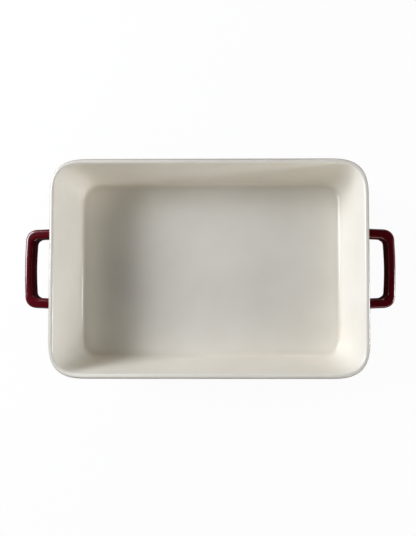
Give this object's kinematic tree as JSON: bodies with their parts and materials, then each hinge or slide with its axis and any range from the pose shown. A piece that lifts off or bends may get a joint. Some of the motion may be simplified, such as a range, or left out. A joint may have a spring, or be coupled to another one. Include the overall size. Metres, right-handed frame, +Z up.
{
  "type": "rectangular baking dish",
  "caption": "Rectangular stoneware baking dish with drafted walls, a round rim and a loop handle at each short end, glazed ivory inside and burgundy outside.",
  "frame": {"origin": "on the surface the dish stands on, under the middle of the dish", "axes": "+X along the length towards the right-hand handle, +Y across the width, +Z up out of the dish's mouth"},
  "size_m": [0.4348, 0.2446, 0.07],
  "materials": {
    "stoneware": "matte",
    "ivory_glaze": "gloss",
    "burgundy_glaze": "gloss"
  },
  "bodies": {
    "root": {"stoneware_body": "stoneware", "liner_glaze": "ivory_glaze", "outer_glaze": "burgundy_glaze", "left_handle": "burgundy_glaze", "right_handle": "burgundy_glaze"}
  },
  "joints": []
}
